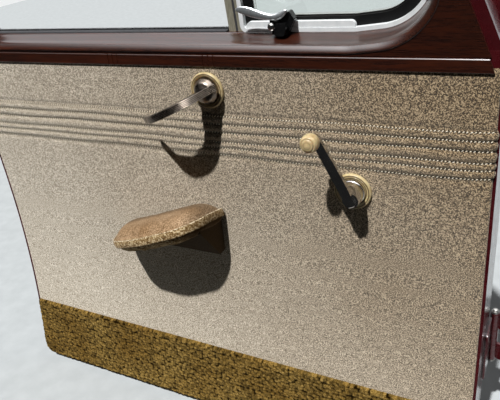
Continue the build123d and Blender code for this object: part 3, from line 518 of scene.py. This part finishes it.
def rounded(corners, step):
    """Points about step apart round a closed outline of (a, b, radius) corners: each corner is an
    arc that touches both its sides, its radius cut where a side is too short."""
    p = np.array([c[:2] for c in corners], float)
    r = np.array([c[2] if len(c) > 2 else 0.01 for c in corners])
    back, fore = np.roll(p, 1, 0) - p, np.roll(p, -1, 0) - p
    u, v = unit(back), unit(fore)
    half = np.arccos(np.clip((u * v).sum(1), -1, 1)) / 2
    cut = r / np.tan(half)
    share = np.minimum(1, 0.999 * np.linalg.norm(back, axis=1) / (np.roll(cut, 1) + cut))
    cut = cut * np.minimum(share, np.roll(share, -1))
    found = []
    for i in range(len(p)):
        size = cut[i] * np.tan(half[i])
        sweep = np.pi - 2 * half[i]
        middle = p[i] + unit(u[i] + v[i]) * cut[i] / np.cos(half[i])
        start = p[i] + u[i] * cut[i] - middle
        turn = np.sign(u[i][1] * v[i][0] - u[i][0] * v[i][1])
        t = np.linspace(0, sweep, max(2, int(size * sweep / step) + 2)) * turn
        c, s = np.cos(t), np.sin(t)
        found.append(middle + np.stack([start[0] * c - start[1] * s, start[0] * s + start[1] * c], -1))
    line = np.concatenate(found)
    closed = np.concatenate([line, line[:1]])
    run = np.concatenate([[0], np.cumsum(np.linalg.norm(np.diff(closed, axis=0), axis=1))])
    at_run = np.linspace(0, run[-1], int(run[-1] / step), endpoint=False)
    return np.stack([np.interp(at_run, run, closed[:, k]) for k in (0, 1)], -1)


def outward(line):
    """Unit normals of a closed line in its plane, pointing out of it."""
    way = np.roll(line, -1, 0) - np.roll(line, 1, 0)
    normal = unit(np.stack([way[:, 1], -way[:, 0]], -1))
    area = (line[:, 0] * np.roll(line[:, 1], -1) - np.roll(line[:, 0], -1) * line[:, 1]).sum()
    return normal * np.sign(area)


def leaned(points):
    """Points of the upright frame turned with it about its sill."""
    c, s = np.cos(np.radians(LEAN)), np.sin(np.radians(LEAN))
    y, z = points[..., 1] - LEAN_Y, points[..., 2] - SILL
    return np.stack([points[..., 0], LEAN_Y + y * c - z * s, SILL + y * s + z * c], -1)


def spline(points, count):
    """Points along a Catmull-Rom curve through the given points: on each span the four nearest
    points are weighted by cubics in the way along it."""
    p = np.asarray(points, float)
    p = np.vstack([2 * p[:1] - p[1:2], p, 2 * p[-1:] - p[-2:-1]])
    s = np.linspace(0, len(p) - 3 - 1e-9, count)
    i, t = s.astype(int), (s % 1)[:, None]
    a, b, c, d = p[i], p[i + 1], p[i + 2], p[i + 3]
    return 0.5 * (2 * b + (c - a) * t + (2 * a - 5 * b + 4 * c - d) * t ** 2 + (3 * b - a - 3 * c + d) * t ** 3)


def rolled_edge():
    """The edge's section carried round the opening: out along the outline's normal and in depth.
    A second sheet 1.1 mm under the first closes it at both its edges."""
    line = rounded(WINDOW, 5)
    normal = outward(line)
    curve = spline(ROLL_EDGE, 44)
    way = np.gradient(curve, axis=0)
    face = unit(np.stack([way[:, 1], -way[:, 0]], -1))
    section = np.vstack([curve + face * 0.3, (curve - face * 0.8)[::-1]])
    flat = line[None] + normal[None] * section[:, None, :1]
    points = np.stack([flat[..., 0], np.broadcast_to(section[:, None, 1], flat.shape[:2]), flat[..., 1]], -1)
    return leaned(points), quads(len(section), len(line), True, True)


points, faces = rolled_edge()
roll = mesh_piece("garnish_roll", placed(points), faces, grained)

# -------------------- escutcheons and crank knob
# Moulded and turned ivory-coloured plastic, gone yellow. Each turned groove is drawn dark brown:
# a ring at its radius from the piece's own axis.
HANDLE, CRANK, KNOB = (-387, -50), (-176, -184), (-207.5, -90)  # x and z of the three axes, mm
ROSE_GROOVES, KNOB_GROOVES = (19.6, 23.6), (8.0, 4.6)  # their radii, mm


def ivory_plastic(name, centre, grooves, groove_darkening):
    """The plastic, with a dark brown ring 1.1 mm to each side of every groove's radius in mm."""
    made, tree, shader, at = finish(name)
    shade = add(tree, "TexNoise", {"Vector": at, "Scale": 160, "Detail": 4})
    line = add(tree, "TexNoise", {"Vector": at, "Scale": 900, "Detail": 2})
    x, _, z = placed([centre[0], 0, centre[1]])
    middle = add(tree, "Mapping", {"Vector": at, "Location": (-x, 0, -z)})
    level = add(tree, "VectorMath", {0: middle, 1: (1, 0, 1)}, operation="MULTIPLY")
    radius = add(tree, "VectorMath", {0: level}, operation="LENGTH")
    groove_rings = None
    for groove in grooves:
        off = add(tree, "Math", {0: (radius, "Value"), 1: groove / 1000}, operation="SUBTRACT")
        away = add(tree, "Math", {0: off}, operation="ABSOLUTE")
        ring = add(tree, "MapRange", {
            "Value": away, "From Min": 0.0004, "From Max": 0.0011, "To Min": groove_darkening, "To Max": 0.0})
        groove_rings = ring if groove_rings is None else add(tree, "Math", {0: groove_rings, 1: ring}, operation="MAXIMUM")
    plastic = add(tree, "ValToRGB", {"Fac": shade}, stops=[(0.25, "#ab946a"), (0.55, "#c6b083"), (0.8, "#dac9a3")])
    add(tree, shader, {
        "Base Color": add(tree, "MixRGB", {"Fac": groove_rings, "Color1": plastic, "Color2": "#3a2412"}),
        "Roughness": 0.3, "Subsurface Weight": 0.08, "Coat Weight": 0.2,
        "Normal": add(tree, "Bump", {"Height": line, "Strength": 0.1, "Distance": 0.0002})})
    return made


dress(ivory_plastic("moulded ivory plastic, handle rose", HANDLE, ROSE_GROOVES, 0.85), "release_escutcheon")
dress(ivory_plastic("moulded ivory plastic, crank rose", CRANK, ROSE_GROOVES, 0.85), "crank_escutcheon")
dress(ivory_plastic("turned ivory plastic, knob", KNOB, KNOB_GROOVES, 0.3), "crank_knob")

# -------------------- vent latch wing
# A small bright casting that turns on the keeper: a long spoon-shaped wing to the rear, a stub
# forward, everywhere oval in section.
LATCH = (-277, 45)  # x and z of its pivot in the upright frame, mm
WING = [  # x, z, half height, depth, half thickness
    (-58.5, 13.4, 0.3, 18.2, 0.2), (-57, 13.3, 2.2, 18.2, 0.9), (-52, 12.9, 4.4, 18.5, 1.6),
    (-42, 10.8, 6.2, 19.2, 2.3), (-30, 7.0, 6.0, 20.2, 2.8), (-18, 3.6, 5.0, 21.2, 3.2),
    (-8, 2.2, 4.4, 21.8, 3.6), (0, 2.6, 5.0, 22.0, 3.8), (7, 5.4, 4.8, 22.0, 3.2),
    (12, 8.6, 3.0, 21.8, 2.2), (14.6, 10.4, 0.4, 21.6, 0.4)]


def capped(rows, columns):
    """Faces of a tube of rings of points, counted ring by ring, with a flat face at both ends."""
    ends = [range(columns)[::-1], (rows - 1) * columns + np.arange(columns)]
    return [tuple(f) for f in [*quads(rows, columns, round_columns=True), *ends]]


def latch_wing():
    """Ovals strung along a smooth line through the rows of WING, square to x, closed at both ends."""
    s, sides = spline(WING, 56), 20
    t = np.linspace(0, 2 * np.pi, sides, endpoint=False)
    half, thick = np.maximum(s[:, 2], 0.1)[:, None], np.maximum(s[:, 4], 0.1)[:, None]
    x, z = LATCH[0] + s[:, :1] + 0 * t, LATCH[1] + s[:, 1:2] + half * np.sin(t)
    points = np.stack([x, s[:, 3:4] - thick * np.cos(t), z], -1)
    return leaned(points), [f[::-1] for f in capped(len(s), sides)]


points, faces = latch_wing()
satin, tree, shader, at = finish("satin chromium, pale")
film = add(tree, "TexNoise", {"Vector": at, "Scale": 300, "Detail": 3})
add(tree, shader, {
    "Base Color": add(tree, "ValToRGB", {"Fac": film}, stops=[(0.3, "#d9dee0"), (0.7, "#f2f6f7")]),
    "Metallic": 0.85, "Roughness": 0.28,
    "Normal": add(tree, "Bump", {"Height": film, "Strength": 0.08, "Distance": 0.0002})})
wing = mesh_piece("latch_wing", placed(points), faces, satin)
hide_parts("vent_latch_lever")

# -------------------- release lever
# Zinc casting, chromium plated: a hook of even width that springs from its dome, sweeps up and
# thins to the tip, with five round ribs running the whole way round it.
LEVER = [  # its side view: along it, out from the cloth, corner radius
    (-17, 9, 2), (-25.5, 13.5, 1.5), (4.6, 68.3, 50), (65.5, 68.3, 60), (111.5, 29, 1.5), (107, 27, 1.5),
    (84, 43.6, 45), (50, 51.5, 60), (18, 46.5, 13), (16.8, 13.5, 1), (12, 9, 1)]
LEVER_WIDTH, LEVER_FALL = 10.4, 23  # mm, and degrees below level
RIBS, RIB_DEPTH, CHEEK = 5, 0.95, 2.0  # how many, how deep, and how far the sides are drawn in, mm


def ribbed_lever():
    """The outline repeated across the width: it is drawn in most between two ribs and not at all on
    a rib's back, as half sines go, and further at both sides, which close in a flat cheek."""
    line = rounded(LEVER, 1.6)
    normal = outward(line)
    w = np.linspace(-0.5, 0.5, 41)
    hump = np.abs(np.sin(np.pi * RIBS * (w + 0.5)))
    w, draw = np.r_[-0.5, w, 0.5], np.r_[CHEEK, RIB_DEPTH * (1 - hump), CHEEK]
    flat = line[None] - normal[None] * draw[:, None, None]
    t = np.radians(LEVER_FALL)
    along_way, across_way = np.array([-np.cos(t), 0, -np.sin(t)]), np.array([-np.sin(t), 0, np.cos(t)])
    side_view = flat[..., :1] * along_way + flat[..., 1:] * np.array([0, -1.0, 0])
    points = np.array([HANDLE[0], 0, HANDLE[1]]) + side_view + (w * LEVER_WIDTH)[:, None, None] * across_way
    # The third result is painted shade: dark between the ribs and full on both flat cheeks.
    return points, capped(len(w), len(line)), np.repeat(np.clip(1.25 * draw, 0, 1), len(line))


points, faces, grooves = ribbed_lever()
lever = mesh_piece("ribbed_lever", placed(points), faces, dulled)
paint(lever, "groove", grooves)
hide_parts("release_lever")

# -------------------- armrest
# A stuffed pad on a board that falls to the rear, covered in tan velvet, with a boxing band of
# looped cloth round its side and a piped welt between the two; a bracket under its front carries
# it. The pad is swollen by a cloth simulation, and its welt and boxing are laid on after.
REST, REST_SLOPE, REST_TILT = np.array([-390, 0, -253]), 20, 6.6  # its corner, mm, and degrees
REST_RIM = 14  # mm from its foot to its seam
REST_PLAN = [  # along it, out from the wall, corner radius
    (-2, -40), (-2, 66, 42), (28, 94, 46), (104, 100, 130), (181, 82, 60), (212, 36, 34), (212, -40)]
SHRINK, SWELL, FRAMES = 0.0008, 0.004, 20  # m drawn in first, m let out at most, and in how long
SIDE_STRETCH, CROWN = 1.45, 4.5  # the side is drawn out downward; mm that the top stands higher


def rest_axes():
    """Rows: along the pad to the rear, out toward the cabin, and up off its board."""
    t, u = np.radians(REST_SLOPE), np.radians(REST_TILT)
    return np.array([[-np.cos(t), 0, -np.sin(t)],
                     [-np.sin(t) * np.sin(u), -np.cos(u), np.cos(t) * np.sin(u)],
                     [-np.sin(t) * np.cos(u), np.sin(u), np.cos(t) * np.cos(u)]])


def on_rest(points):
    """Points of the door's drawing from (along, out, up) of the pad, all in mm."""
    return REST + np.asarray(points) @ rest_axes()


def off_rest(points):
    """(along, out, up) of the pad from points of the door's drawing, in mm."""
    return (points - REST) @ rest_axes().T


def droop(along, out):
    """How far the pad's front end sinks where it meets the wall: 5 mm at its inner front corner,
    nothing 45 mm away."""
    return 5 * np.clip(1 - along / 45, 0, 1) * np.clip(1 - out / 45, 0, 1)


def welt_line(up, inset, step=1.5):
    """The pad's outline, drawn in by inset, at that height, where it stands clear of the cloth."""
    line = rounded(REST_PLAN, step)
    line = line - outward(line) * inset
    line = np.roll(line, -int(np.argmin(line[:, 1])), 0)
    path = on_rest(np.column_stack([line, up - droop(line[:, 0], line[:, 1])]))
    keep = path[:, 1] < -2.2
    first = int(np.argmax(keep))
    return path[first:first + int(keep.sum())]


def cooked(piece):
    """Applies the piece's modifiers: its evaluated mesh becomes its own."""
    graph = bpy.context.evaluated_depsgraph_get()
    mesh = bpy.data.meshes.new_from_object(piece.evaluated_get(graph))
    piece.modifiers.clear()
    piece.data = mesh


def read_points(mesh):
    """The mesh's points as rows of x, y, z in metres."""
    found = np.empty(len(mesh.vertices) * 3, dtype=np.float32)
    mesh.vertices.foreach_get("co", found)
    return found.reshape(-1, 3).astype(float)


def write_points(mesh, points):
    """Puts rows of x, y, z back as the mesh's points."""
    mesh.vertices.foreach_set("co", points.astype(np.float32).ravel())
    mesh.update()


def stuffed(node, name, material):
    """A merged copy of the CAD node's mesh, drawn in a little along its normals, remeshed at 4 mm,
    blown up by cloth pressure with each point's path held to SWELL, then smoothed and divided."""
    form = bmesh.new()
    form.from_mesh(cad[node].data)
    bmesh.ops.remove_doubles(form, verts=form.verts, dist=1e-5)
    for vertex in form.verts:
        vertex.co -= vertex.normal * SHRINK
    mesh = bpy.data.meshes.new(name)
    form.to_mesh(mesh)
    form.free()
    mesh.materials.clear()
    mesh.materials.append(material)
    made = put(name, mesh)
    remesh = made.modifiers.new("remesh", "REMESH")
    remesh.mode, remesh.voxel_size = "VOXEL", 0.004
    cooked(made)
    start = read_points(made.data)
    cloth = made.modifiers.new("cloth", "CLOTH")
    fabric = cloth.settings
    fabric.quality, fabric.mass = 6, 0.3
    fabric.tension_stiffness = fabric.compression_stiffness = 12
    fabric.use_pressure, fabric.uniform_pressure_force = True, 4
    fabric.effector_weights.gravity = 0
    cloth.point_cache.frame_start, cloth.point_cache.frame_end = 1, FRAMES
    for number in range(1, FRAMES + 1):
        bpy.context.scene.frame_set(number)
    cooked(made)
    bpy.context.scene.frame_set(1)
    moved = read_points(made.data) - start
    far = np.linalg.norm(moved, axis=1, keepdims=True)
    write_points(made.data, start + moved * np.minimum(1, SWELL / np.maximum(far, 1e-9)))
    soften = made.modifiers.new("soften", "SMOOTH")
    soften.factor, soften.iterations = 0.5, 3
    finer = made.modifiers.new("finer", "SUBSURF")
    finer.levels = finer.render_levels = 1
    cooked(made)
    made.data.shade_smooth()
    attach(made, "door")
    return made


# Velvet top: short, even pile, lighter tan out from the wall and darker brown near the wall and
# at both ends. Boxing: loops of about 2.5 mm, light on their backs and dark brown between, and
# painted darker at the front as painted shade, where the band turns away from the sun.
velvet, tree, shader, at = finish("mohair velvet with looped boxing, tan")
tuft = add(tree, "TexNoise", {"Vector": at, "Scale": 480, "Detail": 3, "Roughness": 0.65})
shade = add(tree, "TexNoise", {"Vector": at, "Scale": 26, "Detail": 3})
loop = add(tree, "TexNoise", {"Vector": at, "Scale": 330, "Detail": 2, "Roughness": 0.6})
outer_top = add(tree, "Attribute", attribute_name="outer_top")
boxing = add(tree, "Attribute", attribute_name="boxing")
# The front attribute is painted shade on the boxing's front end.
front = add(tree, "Attribute", attribute_name="front")
near_wall = add(tree, "ValToRGB", {"Fac": tuft}, stops=[(0.38, "#4b3926"), (0.62, "#8a7660")])
outer_tan = add(tree, "ValToRGB", {"Fac": tuft}, stops=[(0.38, "#6a5338"), (0.62, "#b89b7c")])
top = add(tree, "MixRGB", {"Fac": (outer_top, "Fac"), "Color1": near_wall, "Color2": outer_tan})
shading = add(tree, "ValToRGB", {"Fac": shade}, stops=[(0.3, "#d5ccc0"), (0.7, "#ffffff")])
top = add(tree, "MixRGB", {"Fac": 1.0, "Color1": top, "Color2": shading}, blend_type="MULTIPLY")
band = add(tree, "ValToRGB", {"Fac": loop}, stops=[(0.36, "#4f391f"), (0.5, "#866c48"), (0.64, "#c4b08b")])
band = add(tree, "MixRGB", {"Fac": (front, "Fac"), "Color1": band, "Color2": "#3b2a18"})
bumps = add(tree, "MixRGB", {"Fac": (boxing, "Fac"), "Color1": (tuft, 0), "Color2": (loop, 0)})
add(tree, shader, {
    "Base Color": add(tree, "MixRGB", {"Fac": (boxing, "Fac"), "Color1": top, "Color2": band}),
    "Roughness": 0.9, "Specular IOR Level": 0.0,
    "Sheen Weight": 0.3, "Sheen Roughness": 0.4, "Sheen Tint": "#efdcc0",
    "Normal": add(tree, "Bump", {"Height": bumps, "Strength": 0.7, "Distance": 0.0012})})

# The simulated pad is drawn out downward below its seam and pulled in to it: a bell of the distance
# to the seam weighs the pull, wider on the side, and the top stands full some 14 mm away from it.
cushion = stuffed("armrest_pad", "armrest_cushion", velvet)
along, out, up = off_rest(read_points(cushion.data) * 1000 + ORIGIN).T
side = np.clip((REST_RIM + 1 - up) / 1.5, 0, 1)
up = np.where(up < REST_RIM, REST_RIM - SIDE_STRETCH * (REST_RIM - up), up) - droop(along, out)
points = on_rest(np.column_stack([along, out, up]))
seam = welt_line(REST_RIM + 0.6, 0.4, 3)
gap = np.linalg.norm(points[:, None] - seam[None], axis=2)
nearest, off_board = gap.min(1), rest_axes()[2]
pull = seam[gap.argmin(1)] - points
pull -= (pull @ off_board)[:, None] * off_board
points += pull * np.exp(-(nearest / (3.5 + 2.5 * side)) ** 2)[:, None]
points += ((1 - side) * CROWN * (1 - np.exp(-(nearest / 14) ** 2)))[:, None] * off_board
write_points(cushion.data, placed(points))
away_from_ends = np.clip((along - 2) / 25, 0, 1) * np.clip((200 - along) / 22, 0, 1)
paint(cushion, "boxing", side)
# Lighter tan out from the wall and away from the pad's ends, darker brown near the wall and at the ends.
paint(cushion, "outer_top", np.clip((out - 26) / 16, 0, 1) * away_from_ends)
# Painted shade on the boxing toward the pad's front end.
paint(cushion, "front", side * np.clip((45 - along) / 25, 0, 1))
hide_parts("armrest_pad")

# The boxing is laid over the pad's side, hung from the seam, and the welt along the seam itself.
BOXING_HEIGHT, BOXING_BULGE, WELT_RADIUS = 12, 1.0, 0.85  # mm


def boxing_band(path, height, bulge):
    """A strip hung from the seam's path: its face swells by half a sine on the way down, and its
    back lies 3 mm inside the pad. Closed at both ends."""
    aside = unit(np.cross(np.gradient(path, axis=0), rest_axes()[2]))
    aside *= np.sign(((path - on_rest([104, 40, REST_RIM])) * aside).sum(1))[:, None]
    t = np.linspace(0, 1, 9)
    out = np.r_[bulge * np.sin(np.pi * t) ** 0.8, -3, -3]
    down = np.r_[height * t, height, 0]
    rings = path[:, None] + aside[:, None] * out[None, :, None] - rest_axes()[2] * down[None, :, None]
    return rings, capped(len(path), len(out))


points, faces = boxing_band(welt_line(REST_RIM + 0.7, 0.3), BOXING_HEIGHT, BOXING_BULGE)
band = mesh_piece("armrest_boxing", placed(points), faces, velvet)
along = off_rest(points.reshape(-1, 3))[:, 0]
paint(band, "boxing", np.ones(len(along)))
paint(band, "outer_top", np.zeros(len(along)))
# Painted shade toward the boxing's front end.
paint(band, "front", 0.5 * np.clip((20 - along) / 16, 0, 1))


def welt(path, radius):
    """A tube carried along a path of points: circles square to it, their size rippling a little
    with each stitch, closed at both ends."""
    sides = 8
    way = unit(np.gradient(path, axis=0))
    one = unit(np.cross(way, rest_axes()[2]))
    two = np.cross(one, way)
    rng = np.random.default_rng(11)
    ripple = 0.16 * np.sin(np.arange(len(path)) * 2.1) + rng.uniform(-0.12, 0.12, len(path))
    t = np.linspace(0, 2 * np.pi, sides, endpoint=False)[None, :, None]
    circles = one[:, None] * np.cos(t) + two[:, None] * np.sin(t)
    return path[:, None] + radius * (1 + ripple)[:, None, None] * circles, capped(len(path), sides)


piping, tree, shader, at = finish("piped welt, cream boucle")
curl = add(tree, "TexNoise", {"Vector": at, "Scale": 420, "Detail": 2})
yarn = add(tree, "ValToRGB", {"Fac": curl}, stops=[(0.38, "#5d4829"), (0.5, "#a58e68"), (0.62, "#e6d8ba")])
add(tree, shader, {
    "Base Color": yarn, "Roughness": 0.9, "Sheen Weight": 0.3, "Sheen Roughness": 0.5,
    "Normal": add(tree, "Bump", {"Height": curl, "Strength": 0.6, "Distance": 0.0008})})
points, faces = welt(welt_line(REST_RIM + 1.0, 0.9), WELT_RADIUS)
edge = mesh_piece("armrest_welt", placed(points), faces, piping)

# The bracket's cover: the same velvet, painted dark brown as painted shade, for it lies under the pad.
shaded, tree, shader, at = finish("mohair velvet, dark brown")
tuft = add(tree, "TexNoise", {"Vector": at, "Scale": 650, "Detail": 3, "Roughness": 0.65})
add(tree, shader, {
    "Base Color": add(tree, "ValToRGB", {"Fac": tuft}, stops=[(0.3, "#2a2015"), (0.7, "#4b3b28")]),
    "Roughness": 0.95, "Specular IOR Level": 0.0, "Sheen Weight": 0.1, "Sheen Roughness": 0.4,
    "Normal": add(tree, "Bump", {"Height": tuft, "Strength": 0.5, "Distance": 0.001})})
dress(shaded, "armrest_base")

# -------------------- hinges and lock parts
# Forged hinge leaves sprayed with the body; screws, pins, latch and dovetail of zinc-plated steel.
steel, tree, shader, at = finish("zinc-plated steel")
drawn_out = add(tree, "Mapping", {"Vector": at, "Scale": (900, 900, 60)})
brushed = add(tree, "TexNoise", {"Vector": drawn_out, "Scale": 1.0, "Detail": 3})
stain = add(tree, "TexNoise", {"Vector": at, "Scale": 80, "Detail": 5})
add(tree, shader, {
    "Base Color": add(tree, "ValToRGB", {"Fac": stain}, stops=[(0.3, "#6f6b64"), (0.65, "#a9a7a2")]),
    "Metallic": 1.0,
    "Roughness": add(tree, "MapRange", {
        "Value": brushed, "From Min": 0.3, "From Max": 0.7, "To Min": 0.28, "To Max": 0.45}),
    "Normal": add(tree, "Bump", {"Height": brushed, "Strength": 0.15, "Distance": 0.0002})})
dress(steel, "hinge_screws", "hinge_pins", "lock_plate", "lock_bolt", "dovetail")
dress(enamel, "hinge_door_leaf_upper", "hinge_door_leaf_lower",
      "hinge_pillar_leaf_upper", "hinge_pillar_leaf_lower")

# -------------------- studio
# A pale floor under the door, a soft sun from the cabin side, and the camera of the photograph.
SUN_TRAVELS, SUN_STRENGTH, SUN_WIDTH = (0.05, 1.0, -1.8), 5.4, 1.5  # width in degrees
CAMERA_AT, CAMERA_TURN = (0.01602, -0.78123, 0.2604), (-30.44, -27.38, -7.19)  # m; yaw, pitch, tilt
CAMERA_LENS, CAMERA_SENSOR = 42.29, 36  # mm

floor_paint, tree, shader, at = finish("pale studio floor")
speck = add(tree, "TexNoise", {"Vector": at, "Scale": 30, "Detail": 4})
add(tree, shader, {
    "Base Color": add(tree, "ValToRGB", {"Fac": speck}, stops=[(0.3, "#a7abac"), (0.7, "#afb3b4")]),
    "Roughness": 0.9, "Specular IOR Level": 0.0})
floor_mesh = bpy.data.meshes.new("studio_floor")
level, reach, near = cad_box[0][2] - 0.002, 6.0, -0.32
corners = [(-reach, near, level), (reach, near, level), (reach, reach, level), (-reach, reach, level)]
floor_mesh.from_pydata(corners, [], [(0, 1, 2, 3)])
floor_mesh.materials.append(floor_paint)
floor = put("studio_floor", floor_mesh)

# The room is bright overhead and behind the door for what mirrors it, dim for what it lights, and
# pale where the camera or a glass looks straight into it.
world = bpy.data.worlds.new("studio")
bpy.context.scene.world = world
world.use_nodes = True
tree = world.node_tree
way = add(tree, "SeparateXYZ", {"Vector": (add(tree, "TexCoord"), "Generated")})
overhead = add(tree, "MapRange", {
    "Value": (way, "Z"), "From Min": 0.6, "From Max": 0.86, "To Min": 0.02, "To Max": 3.6})
behind = add(tree, "MapRange", {"Value": (way, "Y"), "From Min": -0.1, "From Max": 0.35, "To Max": 0.85})
brightest = add(tree, "Math", {0: overhead, 1: behind}, operation="MAXIMUM")
softbox = add(tree, "MapRange", {"Value": (way, "Y"), "From Max": 0.6, "To Min": 0.02, "To Max": 0.45})
path = add(tree, "LightPath")
seen = add(tree, "Math", {0: (path, "Is Camera Ray"), 1: (path, "Is Transmission Ray")}, operation="MAXIMUM")
plain = add(tree, tree.nodes["Background"], {"Color": "#ffffff", "Strength": softbox})
mirror = add(tree, "Background", {"Color": "#f3f5f8", "Strength": brightest})
pale = add(tree, "Background", {"Color": "#eef0f0", "Strength": 1.0})
gloss = add(tree, "MixShader", {0: (path, "Is Glossy Ray"), 1: plain, 2: mirror})
add(tree, tree.nodes["World Output"], {"Surface": add(tree, "MixShader", {0: seen, 1: gloss, 2: pale})})

sun_data = bpy.data.lights.new("key", "SUN")
sun_data.energy, sun_data.angle = SUN_STRENGTH, np.radians(SUN_WIDTH)
sun = put("key", sun_data)
sun.rotation_mode = "QUATERNION"
sun.rotation_quaternion = Vector(SUN_TRAVELS).to_track_quat("-Z", "Y")

yaw, pitch, tilt = np.radians(CAMERA_TURN)
ahead = Vector((np.sin(yaw) * np.cos(pitch), np.cos(yaw) * np.cos(pitch), np.sin(pitch)))
side = ahead.cross(Vector((0, 0, 1))).normalized()
up = side.cross(ahead)
right, top_way = np.cos(tilt) * side + np.sin(tilt) * up, np.cos(tilt) * up - np.sin(tilt) * side
camera_data = bpy.data.cameras.new("camera")
camera_data.lens, camera_data.sensor_width = CAMERA_LENS, CAMERA_SENSOR
camera = put("camera", camera_data)
facing = Matrix((right, top_way, -ahead)).transposed().to_4x4()
camera.matrix_world = Matrix.Translation(CAMERA_AT) @ facing
bpy.context.scene.camera = camera
bpy.context.scene.view_settings.view_transform = "Standard"
